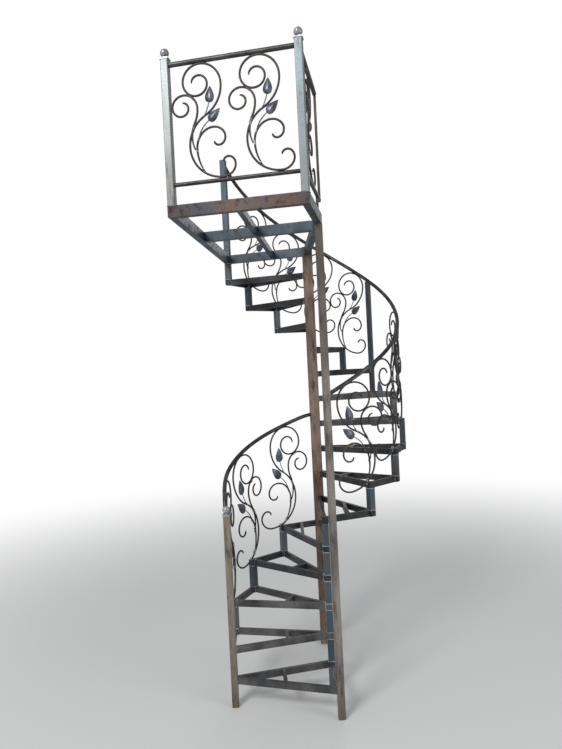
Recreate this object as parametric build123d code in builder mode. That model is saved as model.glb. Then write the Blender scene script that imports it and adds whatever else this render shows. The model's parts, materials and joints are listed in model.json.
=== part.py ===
from math import asin, atan2, cos, degrees, hypot, radians, sin, sqrt
import os

from build123d import *

# Where everything is measured from
# Millimetres. The origin is the middle of the main column's foot on the floor.
# +X is to the right in the photo, +Y goes away from the viewer, +Z is up.

# Main heights
RISE = 180
TREADS = 15
LANDING_TOP = RISE * (TREADS + 1)

# Tube sizes
COLUMN_SIDE = 70
POST_SIDE = 40
FRAME_HEIGHT = 40
FRAME_WIDTH = 20
BEAM_HEIGHT = 60
BEAM_WIDTH = 40
JOIST_WIDTH = 30
LANDING_UNDERSIDE = LANDING_TOP - BEAM_HEIGHT

# Upright lines in plan
COLUMN = (0, 0)
CORE = (-3, -663)
FRONT_POST = (21, -992)
FRONT_POST_TURN = 8

# Lower flight, clockwise round the core line when seen from above
LOWER_RADIUS = 614
LOWER_START = 193.7
LOWER_STEP = -25.94
LOWER_CORNERS = 4
CORE_POSTS = 6

# Upper flight, counter-clockwise round the main column when seen from above
UPPER_RADIUS = 620
UPPER_START = -60.5
UPPER_STEP = 24.77
FIRST_UPPER_TREAD = 7
UPPER_CORNERS = TREADS - FIRST_UPPER_TREAD + 2

# Landing outline
FRONT_LEFT = (-750, -1298)
FRONT_RIGHT = (-65, -1445)
MIDDLE_BEAM_SHARE = 0.44
MIDDLE_BEAM_DROP = 166
JOIST_SHARE = 0.49

# Railings
NEWEL_SIDE = 40
RAIL_DIAMETER = 26
LOW_RAIL_DIAMETER = 22
TOP_RAIL_ABOVE_LANDING = 736
LOW_RAIL_ABOVE_LANDING = 107
RAIL_SINK = 3
FRONT_PANEL_SCROLL_SHARES = (0.265, 0.72)
SIDE_PANEL_OVERHANG = 118
SIDE_PANEL_BAR = 14
SIDE_PANEL_SCROLL_SHARE = 0.42
PANEL_WELD = 0.307
LANDING_NEWEL_HEIGHT = 752
LOWER_NEWEL_HEIGHT = 1150
REAR_NEWEL_TOP = 3600
COLLAR_SIDE = 46
COLLAR_HEIGHT = 8
NECK_DIAMETER = 22
NECK_HEIGHT = 6
BALL_DIAMETER = 46
BALL_SINK = 2
COLUMN_ROUND = 6
POST_ROUND = 4

# Lower handrail
LOWER_RAIL_FOOT_BELOW_NEWEL = 60
LOWER_RAIL_FOOT = LOWER_NEWEL_HEIGHT - LOWER_RAIL_FOOT_BELOW_NEWEL
LOWER_RAIL_FOOT_ANGLE = 190.6
LOWER_RAIL_LEAN = 1.5
LOWER_RAIL_LIFT = 130
LOWER_RAIL_BEND_ANGLE = 172
LOWER_RAIL_END_ANGLE = 96.5
LOWER_RAIL_END = 1664
LOWER_RAIL_SLOPE = 3.52
LOWER_RAIL_SAG = 0.0094
LOWER_RAIL_STOPS = 7

# Upper handrail
UPPER_RAIL_START = 1856
UPPER_RAIL_FIRST_ANGLE = -74
UPPER_RAIL_KNEE_ANGLE = -32
UPPER_RAIL_KNEE = 2148
UPPER_RAIL_EASY_SLOPE = 5.9
UPPER_RAIL_SLOPE = 7.4
UPPER_RAIL_STOPS = 16
RAIL_POST_CORNER = 4
RAIL_POST_WIDTH = 40
RAIL_POST_DEPTH = 20

# Scroll shape, drawn once at landing size
SCROLL_BAR = 11
SCROLL_WIDTH = 345
WAIST = (88, 205)
HEAD_SIDE = (277, 522)
BELLY_RADIUS = 180
HEAD_RADIUS = 119
HEAD_SHRINK = 0.8
HEAD_QUARTERS = 6
TAIL_RADIUS = 66
TAIL_SHRINK = 0.62
TAIL_QUARTERS = 3
LEFT_CURL_SIDE = (141, 403)
LEFT_CURL_RADIUS = 79
LEFT_CURL_SHRINK = 0.8
LEFT_CURL_QUARTERS = 5
LEFT_STEM_RADIUS = 163
LEFT_STEM_TURN = 27.5
LEFT_END_TURN = 25
RIGHT_CURL_SIDE = (127, 191)
RIGHT_CURL_RADIUS = 100
RIGHT_CURL_SHRINK = 0.62
RIGHT_CURL_QUARTERS = 4
RIGHT_STEM_RADIUS = 233
RIGHT_STEM_TURN = 34
LEAF_LENGTH = 90
LEAF_WIDTH = 50
LEAF_ROOT = 30
UPPER_LEAF = (205, 428)
UPPER_LEAF_HEADING = 77
UPPER_STEM_RADIUS = 190
UPPER_STEM_TURN = -23.4
LOWER_LEAF = (199, 332)
LOWER_LEAF_HEADING = 36
LOWER_STEM_RADIUS = 158
LOWER_STEM_TURN = 40.8

# How the scrolls stand between a tread corner and the rail
SCROLL_BESIDE_CORNER = 22
SCROLL_TURN_INWARD = 8
HEAD_WELD = 3
UPPER_SCROLL_HOLD = (157, 63)
UPPER_SCROLL_LEAN = 8
FIRST_SCROLL_HOLD = (165, 58)
FIRST_SCROLL_LEAN = 7
LOWER_SCROLL_HOLD = (206, 36)
LOWER_SCROLL_LEAN = 8
LAST_LOWER_SCROLL_LEAN = -3


# Small plan helpers
def polar(centre, radius, angle):
    return (
        centre[0] + radius * cos(radians(angle)),
        centre[1] + radius * sin(radians(angle)),
    )


def between(start, end, share):
    return (
        start[0] + share * (end[0] - start[0]),
        start[1] + share * (end[1] - start[1]),
    )


def heading(start, end):
    return degrees(atan2(end[1] - start[1], end[0] - start[0]))


def length(start, end):
    return hypot(end[0] - start[0], end[1] - start[1])


def beyond(start, end, extra):
    return polar(end, extra, heading(start, end))


def lower_corner(index):
    return polar(CORE, LOWER_RADIUS, LOWER_START + index * LOWER_STEP)


def upper_corner(index):
    return polar(COLUMN, UPPER_RADIUS, UPPER_START + index * UPPER_STEP)


def crossing(start, angle, first, second):
    along = (cos(radians(angle)), sin(radians(angle)))
    across = (second[0] - first[0], second[1] - first[1])
    offset = (first[0] - start[0], first[1] - start[1])
    slope = along[0] * across[1] - along[1] * across[0]
    reach = (offset[0] * across[1] - offset[1] * across[0]) / slope
    return polar(start, reach, angle)


def save(part, label):
    part.label = label
    export_step(part, f"parts/{label}.step")


os.makedirs("parts", exist_ok=True)

lower_newel_at = lower_corner(0)
LANDING_CORNER = upper_corner(UPPER_CORNERS - 1)
LEFT_HEADING = heading(FRONT_LEFT, LANDING_CORNER)
FRONT_HEADING = heading(FRONT_LEFT, FRONT_RIGHT)
CORNER_HEADING = heading(COLUMN, LANDING_CORNER)


# Uprights
with BuildPart() as main_column:
    with BuildSketch():
        Rectangle(COLUMN_SIDE, COLUMN_SIDE)
    extrude(amount=LANDING_TOP)
    fillet(main_column.edges().filter_by(Axis.Z), COLUMN_ROUND)
save(main_column.part, "main_column")

with BuildPart() as front_post:
    with BuildSketch():
        with Locations(FRONT_POST):
            Rectangle(POST_SIDE, POST_SIDE, rotation=FRONT_POST_TURN)
    extrude(amount=LANDING_UNDERSIDE)
    fillet(front_post.edges().filter_by(Axis.Z), POST_ROUND)
save(front_post.part, "front_post")

with BuildPart() as core_posts:
    for level in range(CORE_POSTS):
        with BuildSketch(Plane.XY.offset(level * RISE)):
            with Locations(CORE):
                Rectangle(POST_SIDE, POST_SIDE)
        extrude(amount=RISE - FRAME_HEIGHT)
save(core_posts.part, "core_posts")


# Newels
def newel(label, at, foot, top, turn):
    with BuildPart() as post:
        with BuildSketch(Plane.XY.offset(foot)):
            with Locations(at):
                Rectangle(NEWEL_SIDE, NEWEL_SIDE, rotation=turn)
        extrude(amount=top - foot)
        fillet(post.edges().filter_by(Axis.Z), POST_ROUND)
    save(post.part, label)
    return post


lower_newel = newel("lower_newel", lower_newel_at, 0, LOWER_NEWEL_HEIGHT, 0)


# Tread frames of rectangular tube
def frame_bars(centre, first, second, crossbar):
    bars = [(centre, first), (centre, second), (first, second)]
    if crossbar > 0:
        bars.append((between(centre, first, crossbar), between(centre, second, crossbar)))
    return bars


def tread(number, centre, first, second, crossbar, corners, cuts):
    top = number * RISE
    with BuildPart() as frame:
        with BuildSketch(Plane.XY.offset(top - FRAME_HEIGHT)):
            for start, end in frame_bars(centre, first, second, crossbar):
                with Locations(between(start, end, 0.5)):
                    Rectangle(length(start, end), FRAME_WIDTH, rotation=heading(start, end))
            for corner, turn in corners:
                with Locations(corner):
                    Rectangle(POST_SIDE, POST_SIDE, rotation=turn)
            for place, wide, deep, turn in cuts:
                with Locations(place):
                    Rectangle(wide, deep, rotation=turn, mode=Mode.SUBTRACT)
        extrude(amount=FRAME_HEIGHT)
    save(frame.part, f"tread_{number:02d}")
    return frame


CROSSBAR_SHARE = 0.45
column_cut = (COLUMN, COLUMN_SIDE, COLUMN_SIDE, 0)
front_post_cut = (FRONT_POST, POST_SIDE, POST_SIDE, FRONT_POST_TURN)
newel_cut = (lower_newel_at, NEWEL_SIDE, NEWEL_SIDE, 0)

core_corner = (CORE, 0)
lower_corners = [(lower_corner(index), LOWER_START + index * LOWER_STEP) for index in range(LOWER_CORNERS)]
upper_corners = [(upper_corner(index), UPPER_START + index * UPPER_STEP) for index in range(UPPER_CORNERS)]

tread_01 = tread(1, lower_newel_at, FRONT_POST, CORE, 0.5, [core_corner], [front_post_cut, newel_cut])
tread_02 = tread(
    2, CORE, lower_newel_at, lower_corner(1), CROSSBAR_SHARE, [core_corner, lower_corners[1]], [newel_cut]
)
treads = {}
for number in (3, 4):
    near = lower_corners[number - 2]
    far = lower_corners[number - 1]
    treads[number] = tread(number, CORE, near[0], far[0], CROSSBAR_SHARE, [core_corner, near, far], [])
turn_corner = lower_corners[LOWER_CORNERS - 1]
treads[5] = tread(5, turn_corner[0], COLUMN, CORE, 0.5, [core_corner, turn_corner], [column_cut])
first_corner = upper_corners[0]
tread_06 = tread(6, first_corner[0], COLUMN, CORE, 0.5, [core_corner, first_corner], [column_cut])

rail_post_at = upper_corner(RAIL_POST_CORNER)
rail_post_turn = UPPER_START + RAIL_POST_CORNER * UPPER_STEP
rail_post_cut = (rail_post_at, RAIL_POST_DEPTH, RAIL_POST_WIDTH, rail_post_turn)
for number in range(FIRST_UPPER_TREAD, TREADS + 1):
    near = upper_corners[number - FIRST_UPPER_TREAD]
    far = upper_corners[number - FIRST_UPPER_TREAD + 1]
    corners = [near, far]
    cuts = [column_cut]
    if number == FIRST_UPPER_TREAD + RAIL_POST_CORNER:
        corners = [far]
        cuts.append(rail_post_cut)
    treads[number] = tread(number, COLUMN, near[0], far[0], CROSSBAR_SHARE, corners, cuts)


# Short posts that carry the outer corner of one tread on the tread below
with BuildPart() as lower_riser_posts:
    for index in range(1, LOWER_CORNERS):
        with BuildSketch(Plane.XY.offset((index + 1) * RISE)):
            with Locations(lower_corner(index)):
                Rectangle(POST_SIDE, POST_SIDE, rotation=LOWER_START + index * LOWER_STEP)
        extrude(amount=RISE - FRAME_HEIGHT)
save(lower_riser_posts.part, "lower_riser_posts")

with BuildPart() as upper_riser_posts:
    for index in range(UPPER_CORNERS):
        if index != RAIL_POST_CORNER:
            stand = (FIRST_UPPER_TREAD + index - 1) * RISE
            reach = RISE - FRAME_HEIGHT
            if index == UPPER_CORNERS - 1:
                reach = RISE - BEAM_HEIGHT
            with BuildSketch(Plane.XY.offset(stand)):
                with Locations(upper_corner(index)):
                    Rectangle(POST_SIDE, POST_SIDE, rotation=UPPER_START + index * UPPER_STEP)
            extrude(amount=reach)
save(upper_riser_posts.part, "upper_riser_posts")


# Landing beams
def beam(label, start, end, wide, deep, cuts):
    with BuildPart() as bar:
        with BuildSketch(Plane.XY.offset(LANDING_TOP - deep)):
            with Locations(between(start, end, 0.5)):
                Rectangle(length(start, end), wide, rotation=heading(start, end))
            for cut_start, cut_end, cut_width in cuts:
                with Locations(between(cut_start, cut_end, 0.5)):
                    Rectangle(
                        length(cut_start, cut_end),
                        cut_width,
                        rotation=heading(cut_start, cut_end),
                        mode=Mode.SUBTRACT,
                    )
        extrude(amount=deep)
    save(bar.part, label)
    return bar


HALF_BEAM = BEAM_WIDTH / 2
HALF_COLUMN = COLUMN_SIDE / 2
front_start = beyond(FRONT_RIGHT, FRONT_LEFT, HALF_BEAM)
front_end = beyond(FRONT_LEFT, FRONT_RIGHT, HALF_BEAM)
front_line = (front_start, front_end, BEAM_WIDTH)
column_line = ((-HALF_COLUMN, 0), (HALF_COLUMN, 0), COLUMN_SIDE)
corner_start = beyond(COLUMN, LANDING_CORNER, -HALF_BEAM)
corner_end = beyond(COLUMN, LANDING_CORNER, HALF_BEAM)
corner_line = (corner_start, corner_end, NEWEL_SIDE)
right_front_line = (FRONT_RIGHT, beyond(FRONT_RIGHT, FRONT_POST, HALF_BEAM), BEAM_WIDTH)
right_back_line = (FRONT_POST, COLUMN, BEAM_WIDTH)
left_line = (FRONT_LEFT, LANDING_CORNER, BEAM_WIDTH)
back_line = (COLUMN, LANDING_CORNER, BEAM_WIDTH)
middle_left = between(FRONT_LEFT, LANDING_CORNER, MIDDLE_BEAM_SHARE)
middle_right = (FRONT_POST[0] * (1 - MIDDLE_BEAM_DROP / -FRONT_POST[1]), FRONT_POST[1] + MIDDLE_BEAM_DROP)
middle_line = (middle_left, middle_right, BEAM_WIDTH)

landing_front_beam = beam("landing_front_beam", front_line[0], front_line[1], BEAM_WIDTH, BEAM_HEIGHT, [])
landing_left_beam = beam(
    "landing_left_beam",
    FRONT_LEFT,
    LANDING_CORNER,
    BEAM_WIDTH,
    BEAM_HEIGHT,
    [front_line, corner_line, back_line],
)
landing_back_beam = beam(
    "landing_back_beam", COLUMN, LANDING_CORNER, BEAM_WIDTH, BEAM_HEIGHT, [column_line, corner_line]
)
landing_right_front_beam = beam(
    "landing_right_front_beam",
    right_front_line[0],
    right_front_line[1],
    BEAM_WIDTH,
    BEAM_HEIGHT,
    [front_line],
)
landing_right_back_beam = beam(
    "landing_right_back_beam", FRONT_POST, COLUMN, BEAM_WIDTH, BEAM_HEIGHT, [right_front_line, column_line]
)
landing_middle_beam = beam(
    "landing_middle_beam", middle_left, middle_right, BEAM_WIDTH, BEAM_HEIGHT, [left_line, right_back_line]
)

joist_start = between(FRONT_LEFT, FRONT_RIGHT, JOIST_SHARE)
joist_middle = crossing(joist_start, LEFT_HEADING, middle_left, middle_right)
joist_end = crossing(joist_start, LEFT_HEADING, COLUMN, LANDING_CORNER)
landing_joists = beam(
    "landing_joists",
    joist_start,
    joist_end,
    JOIST_WIDTH,
    FRAME_HEIGHT,
    [front_line, middle_line, back_line],
)


# Landing newels and posts
landing_newel_left = newel(
    "landing_newel_left", FRONT_LEFT, LANDING_TOP, LANDING_TOP + LANDING_NEWEL_HEIGHT, FRONT_HEADING
)
landing_newel_right = newel(
    "landing_newel_right", FRONT_RIGHT, LANDING_TOP, LANDING_TOP + LANDING_NEWEL_HEIGHT, FRONT_HEADING
)

# Each of the three newels ends in a collar, a short neck and a ball
finials = (
    (lower_newel_at, LOWER_NEWEL_HEIGHT, 0),
    (FRONT_LEFT, LANDING_TOP + LANDING_NEWEL_HEIGHT, FRONT_HEADING),
    (FRONT_RIGHT, LANDING_TOP + LANDING_NEWEL_HEIGHT, FRONT_HEADING),
)
with BuildPart() as newel_finials:
    for at, top, turn in finials:
        with BuildSketch(Plane.XY.offset(top)):
            with Locations(at):
                Rectangle(COLLAR_SIDE, COLLAR_SIDE, rotation=turn)
        extrude(amount=COLLAR_HEIGHT)
        with BuildSketch(Plane.XY.offset(top + COLLAR_HEIGHT)):
            with Locations(at):
                Circle(NECK_DIAMETER / 2)
        extrude(amount=NECK_HEIGHT)
        ball_middle = top + COLLAR_HEIGHT + NECK_HEIGHT + BALL_DIAMETER / 2 - BALL_SINK
        with Locations((at[0], at[1], ball_middle)):
            Sphere(BALL_DIAMETER / 2)
save(newel_finials.part, "newel_finials")

# The last newel stands in the rear landing corner
with BuildPart() as rear_newel:
    with BuildSketch(Plane.XY.offset(LANDING_UNDERSIDE)):
        with Locations(LANDING_CORNER):
            Rectangle(NEWEL_SIDE, NEWEL_SIDE, rotation=CORNER_HEADING)
    extrude(amount=REAR_NEWEL_TOP - LANDING_UNDERSIDE)
save(rear_newel.part, "rear_newel")


# Scroll plates
def quarter_turns(start, angle, radius, shrink, quarters, side):
    for quarter in range(quarters):
        way = (cos(radians(angle)), sin(radians(angle)))
        turn = JernArc(start=start, tangent=way, radius=radius, arc_size=90 * side)
        start = turn @ 1
        angle = angle + 90 * side
        radius = radius * shrink


def scaled(point, size):
    return (point[0] * size, point[1] * size)


def scroll_sketch(size):
    rise = HEAD_SIDE[1] - WAIST[1]
    run = HEAD_SIDE[0] - WAIST[0]
    swing = degrees(2 * atan2(run, rise))
    bend = size * rise / (2 * sin(radians(swing)))
    with BuildSketch() as outline:
        with BuildLine():
            first = JernArc(start=scaled(WAIST, size), tangent=(0, 1), radius=bend, arc_size=-swing)
            second = JernArc(start=first @ 1, tangent=first % 1, radius=bend, arc_size=swing)
            quarter_turns(second @ 1, 90, size * HEAD_RADIUS, HEAD_SHRINK, HEAD_QUARTERS, 1)
        trace(line_width=SCROLL_BAR)
        with BuildLine():
            belly = JernArc(
                start=scaled(WAIST, size),
                tangent=(0, -1),
                radius=size * BELLY_RADIUS,
                arc_size=90,
            )
            quarter_turns(belly @ 1, 0, size * TAIL_RADIUS, TAIL_SHRINK, TAIL_QUARTERS, 1)
        trace(line_width=SCROLL_BAR)
        with BuildLine():
            left_bend = JernArc(
                start=scaled(LEFT_CURL_SIDE, size),
                tangent=(0, -1),
                radius=size * LEFT_STEM_RADIUS,
                arc_size=-LEFT_STEM_TURN,
            )
            left_back = JernArc(
                start=left_bend @ 1,
                tangent=left_bend % 1,
                radius=size * LEFT_STEM_RADIUS,
                arc_size=LEFT_STEM_TURN,
            )
            JernArc(
                start=left_back @ 1,
                tangent=left_back % 1,
                radius=size * LEFT_STEM_RADIUS,
                arc_size=LEFT_END_TURN,
            )
        trace(line_width=SCROLL_BAR)
        with BuildLine():
            quarter_turns(
                scaled(LEFT_CURL_SIDE, size),
                90,
                size * LEFT_CURL_RADIUS,
                LEFT_CURL_SHRINK,
                LEFT_CURL_QUARTERS,
                1,
            )
        trace(line_width=SCROLL_BAR)
        with BuildLine():
            JernArc(
                start=scaled(RIGHT_CURL_SIDE, size),
                tangent=(0, -1),
                radius=size * RIGHT_STEM_RADIUS,
                arc_size=RIGHT_STEM_TURN,
            )
        trace(line_width=SCROLL_BAR)
        with BuildLine():
            quarter_turns(
                scaled(RIGHT_CURL_SIDE, size),
                90,
                size * RIGHT_CURL_RADIUS,
                RIGHT_CURL_SHRINK,
                RIGHT_CURL_QUARTERS,
                -1,
            )
        trace(line_width=SCROLL_BAR)
        upper = (UPPER_LEAF, UPPER_LEAF_HEADING, UPPER_STEM_RADIUS, UPPER_STEM_TURN)
        lower = (LOWER_LEAF, LOWER_LEAF_HEADING, LOWER_STEM_RADIUS, LOWER_STEM_TURN)
        for leaf, angle, stem_radius, stem_turn in (upper, lower):
            root = scaled(leaf, size)
            tip = polar(root, size * LEAF_LENGTH, angle)
            with BuildLine():
                Line(polar(root, size * LEAF_ROOT, angle), root)
                JernArc(
                    start=root,
                    tangent=(-cos(radians(angle)), -sin(radians(angle))),
                    radius=size * stem_radius,
                    arc_size=stem_turn,
                )
            trace(line_width=SCROLL_BAR)
            with BuildLine():
                SagittaArc(root, tip, size * LEAF_WIDTH / 2)
                SagittaArc(tip, root, size * LEAF_WIDTH / 2)
            make_face()
    return outline.sketch


def turned(point, lean):
    across = point[0] * cos(radians(lean)) + point[1] * sin(radians(lean))
    up = point[1] * cos(radians(lean)) - point[0] * sin(radians(lean))
    return (across, up)


def scroll_plane(place, foot, along, lean, size, hold):
    flat = cos(radians(lean))
    x_way = (cos(radians(along)) * flat, sin(radians(along)) * flat, -sin(radians(lean)))
    face_way = (sin(radians(along)), -cos(radians(along)), 0)
    across, up = turned(scaled(hold, size), lean)
    side = polar(place, -across, along)
    start = polar(side, SCROLL_BAR / 2, along + 90)
    return Plane(origin=(start[0], start[1], foot - up), x_dir=x_way, z_dir=face_way)


# Landing rail panels
SCROLL_TOP = HEAD_SIDE[1] + HEAD_RADIUS
SCROLL_LOW = WAIST[1] - BELLY_RADIUS
TOP_RAIL_Z = LANDING_TOP + TOP_RAIL_ABOVE_LANDING - RAIL_DIAMETER / 2
LOW_RAIL_Z = LANDING_TOP + LOW_RAIL_ABOVE_LANDING
PANEL_GAP = TOP_RAIL_Z - LOW_RAIL_Z - RAIL_DIAMETER / 2 - LOW_RAIL_DIAMETER / 2
PANEL_SIZE = (PANEL_GAP - SCROLL_BAR + 2 * PANEL_WELD) / (SCROLL_TOP - SCROLL_LOW)
PANEL_FOOT = LOW_RAIL_Z + LOW_RAIL_DIAMETER / 2 + SCROLL_BAR / 2 - PANEL_WELD - PANEL_SIZE * SCROLL_LOW


panel_scroll = scroll_sketch(PANEL_SIZE)


def landing_panel(label, start, end, end_gap, shares, newels):
    way = heading(start, end)
    clear = length(start, end) - NEWEL_SIDE / 2 + RAIL_SINK - end_gap
    first = polar(start, NEWEL_SIDE / 2 - RAIL_SINK, way)
    with BuildPart() as panel:
        for height, wide in ((TOP_RAIL_Z, RAIL_DIAMETER), (LOW_RAIL_Z, LOW_RAIL_DIAMETER)):
            rail_way = (cos(radians(way)), sin(radians(way)), 0)
            with BuildSketch(Plane(origin=(first[0], first[1], height), z_dir=rail_way)):
                Circle(wide / 2)
            extrude(amount=clear)
        for share in shares:
            place = polar(first, clear * share, way)
            with BuildSketch(scroll_plane(place, PANEL_FOOT, way, 0, PANEL_SIZE, (SCROLL_WIDTH / 2, 0))):
                add(panel_scroll)
            extrude(amount=SCROLL_BAR)
        for post in newels:
            add(post.part, mode=Mode.SUBTRACT)
    save(panel.part, label)
    return panel


landing_front_panel = landing_panel(
    "landing_front_panel",
    FRONT_LEFT,
    FRONT_RIGHT,
    NEWEL_SIDE / 2 - RAIL_SINK,
    FRONT_PANEL_SCROLL_SHARES,
    [landing_newel_left, landing_newel_right],
)

# The side panel runs past the front post and ends in a thin upright bar
side_end = beyond(FRONT_RIGHT, FRONT_POST, SIDE_PANEL_OVERHANG)
SIDE_HEADING = heading(FRONT_RIGHT, FRONT_POST)
landing_side_panel = landing_panel(
    "landing_side_panel",
    FRONT_RIGHT,
    side_end,
    SIDE_PANEL_BAR / 2,
    (SIDE_PANEL_SCROLL_SHARE,),
    [landing_newel_right],
)
low_rail_underside = LOW_RAIL_Z - LOW_RAIL_DIAMETER / 2
with BuildPart() as landing_side_bars:
    with BuildSketch(Plane.XY.offset(low_rail_underside)):
        with Locations(side_end):
            Rectangle(SIDE_PANEL_BAR, SIDE_PANEL_BAR, rotation=SIDE_HEADING)
    extrude(amount=TOP_RAIL_Z + RAIL_DIAMETER / 2 - low_rail_underside)
    with BuildSketch(Plane.XY.offset(LANDING_TOP)):
        with Locations(FRONT_POST):
            Rectangle(SIDE_PANEL_BAR, SIDE_PANEL_BAR, rotation=SIDE_HEADING)
    extrude(amount=LOW_RAIL_Z - LANDING_TOP)
    add(landing_side_panel.part, mode=Mode.SUBTRACT)
save(landing_side_bars.part, "landing_side_bars")


# Handrails
def lower_rail_height(angle):
    back = angle - LOWER_RAIL_END_ANGLE
    return LOWER_RAIL_END - LOWER_RAIL_SLOPE * back - LOWER_RAIL_SAG * back * back


def upper_rail_height(angle):
    past = angle - UPPER_RAIL_KNEE_ANGLE
    slope = UPPER_RAIL_SLOPE if past > 0 else UPPER_RAIL_EASY_SLOPE
    return UPPER_RAIL_KNEE + slope * past


def on_circle(centre, radius, angle, height):
    place = polar(centre, radius, angle)
    return (place[0], place[1], height)


with BuildPart() as lower_handrail:
    lift_angle = LOWER_RAIL_FOOT_ANGLE - LOWER_RAIL_LEAN
    with BuildLine() as lower_path:
        stops = [on_circle(CORE, LOWER_RADIUS, LOWER_RAIL_FOOT_ANGLE, LOWER_RAIL_FOOT)]
        stops.append(on_circle(CORE, LOWER_RADIUS, lift_angle, LOWER_RAIL_FOOT + LOWER_RAIL_LIFT))
        for index in range(LOWER_RAIL_STOPS):
            share = index / (LOWER_RAIL_STOPS - 1)
            angle = LOWER_RAIL_BEND_ANGLE + share * (LOWER_RAIL_END_ANGLE - LOWER_RAIL_BEND_ANGLE)
            stops.append(on_circle(CORE, LOWER_RADIUS, angle, lower_rail_height(angle)))
        stops.append((-COLUMN_SIDE / 2 + 4, -COLUMN_SIDE / 2 + RAIL_DIAMETER / 2, LOWER_RAIL_END + 6))
        Spline(*stops)
    with BuildSketch(Plane(origin=lower_path.line @ 0, z_dir=lower_path.line % 0)):
        Circle(RAIL_DIAMETER / 2)
    sweep()
    with BuildSketch():
        Rectangle(COLUMN_SIDE, COLUMN_SIDE)
    extrude(amount=LANDING_TOP, mode=Mode.SUBTRACT)
    add(lower_newel.part, mode=Mode.SUBTRACT)
    add(newel_finials.part, mode=Mode.SUBTRACT)
save(lower_handrail.part, "lower_handrail")

with BuildPart() as upper_handrail:
    with BuildLine() as upper_path:
        stops = [(FRONT_POST[0] + POST_SIDE / 2 - 4, FRONT_POST[1] + 4, UPPER_RAIL_START)]
        last_angle = UPPER_START + (UPPER_CORNERS - 1) * UPPER_STEP
        for index in range(UPPER_RAIL_STOPS):
            share = index / (UPPER_RAIL_STOPS - 1)
            angle = UPPER_RAIL_FIRST_ANGLE + share * (last_angle - UPPER_RAIL_FIRST_ANGLE)
            stops.append(on_circle(COLUMN, UPPER_RADIUS, angle, upper_rail_height(angle)))
        Spline(*stops)
    with BuildSketch(Plane(origin=upper_path.line @ 0, z_dir=upper_path.line % 0)):
        Circle(RAIL_DIAMETER / 2)
    sweep()
    with BuildSketch():
        with Locations(FRONT_POST):
            Rectangle(POST_SIDE, POST_SIDE, rotation=FRONT_POST_TURN)
        with Locations(LANDING_CORNER):
            Rectangle(NEWEL_SIDE, NEWEL_SIDE, rotation=CORNER_HEADING)
    extrude(amount=REAR_NEWEL_TOP, mode=Mode.SUBTRACT)
save(upper_handrail.part, "upper_handrail")

# One full post carries the upper handrail half-way round
with BuildPart() as upper_rail_post:
    post_foot = (FIRST_UPPER_TREAD + RAIL_POST_CORNER - 1) * RISE
    with BuildSketch(Plane.XY.offset(post_foot)):
        with Locations(rail_post_at):
            Rectangle(RAIL_POST_DEPTH, RAIL_POST_WIDTH, rotation=rail_post_turn)
    extrude(amount=upper_rail_height(rail_post_turn) - RAIL_DIAMETER / 4 - post_foot)
    add(upper_handrail.part, mode=Mode.SUBTRACT)
save(upper_rail_post.part, "upper_rail_post")


# Scrolls between the treads and the handrails, each sized so that its head meets the rail
def stair_scroll(label, centre, radius, angle, downhill, foot, rail_height, slope, lean, hold, rail, frame):
    reach = rail_height - foot - slope * SCROLL_BESIDE_CORNER
    steepness = hypot(1, slope)
    head_from_hold = (HEAD_SIDE[0] - HEAD_RADIUS - hold[0], HEAD_SIDE[1] - hold[1])
    ahead, above = turned(head_from_hold, lean)
    clear = SCROLL_BAR / 2 + RAIL_DIAMETER / 2 - HEAD_WELD
    size = (reach - clear * steepness) / (slope * ahead + above + HEAD_RADIUS * steepness)
    along = angle + (90 + SCROLL_TURN_INWARD) * downhill
    place = polar(polar(centre, radius, angle), SCROLL_BESIDE_CORNER, along)
    outline = scroll_sketch(size)
    with BuildPart() as plate:
        with BuildSketch(scroll_plane(place, foot, along, lean, size, hold)):
            add(outline)
        extrude(amount=SCROLL_BAR)
        add(rail.part, mode=Mode.SUBTRACT)
        add(frame.part, mode=Mode.SUBTRACT)
    save(plate.part, label)
    return plate


scrolls = {}
for index in range(1, LOWER_CORNERS):
    angle = LOWER_START + index * LOWER_STEP
    level = index + 2
    drop = LOWER_RAIL_SLOPE + 2 * LOWER_RAIL_SAG * (angle - LOWER_RAIL_END_ANGLE)
    scrolls[f"lower_scroll_{index}"] = stair_scroll(
        f"lower_scroll_{index}",
        CORE,
        LOWER_RADIUS,
        angle,
        1,
        level * RISE,
        lower_rail_height(angle),
        degrees(drop / LOWER_RADIUS),
        LAST_LOWER_SCROLL_LEAN if index == LOWER_CORNERS - 1 else LOWER_SCROLL_LEAN,
        LOWER_SCROLL_HOLD,
        lower_handrail,
        treads[level],
    )

count = 0
for index in range(UPPER_CORNERS - 1):
    if index != RAIL_POST_CORNER:
        count = count + 1
        angle = UPPER_START + index * UPPER_STEP
        level = index + FIRST_UPPER_TREAD
        easy = angle < UPPER_RAIL_KNEE_ANGLE
        drop = UPPER_RAIL_EASY_SLOPE if easy else UPPER_RAIL_SLOPE
        scrolls[f"upper_scroll_{count}"] = stair_scroll(
            f"upper_scroll_{count}",
            COLUMN,
            UPPER_RADIUS,
            angle,
            -1,
            level * RISE,
            upper_rail_height(angle),
            degrees(drop / UPPER_RADIUS),
            UPPER_SCROLL_LEAN if index else FIRST_SCROLL_LEAN,
            UPPER_SCROLL_HOLD if index else FIRST_SCROLL_HOLD,
            upper_handrail,
            treads[level],
        )
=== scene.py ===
# %% [markdown]
# A bare steel spiral staircase: an S-shaped run of open tube treads, a small landing and
# railings filled with scrolls. The tubes come from the measured model and keep their shapes.
# Blender adds what the eye looks for close up: round bent bars, leaves, weld beads, bright
# balls, and steel that is blue-black in one place and rusty in another.

# %% Load the measured frame
import json
import math

import bmesh
import bpy
from mathutils import Matrix, Vector


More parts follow.
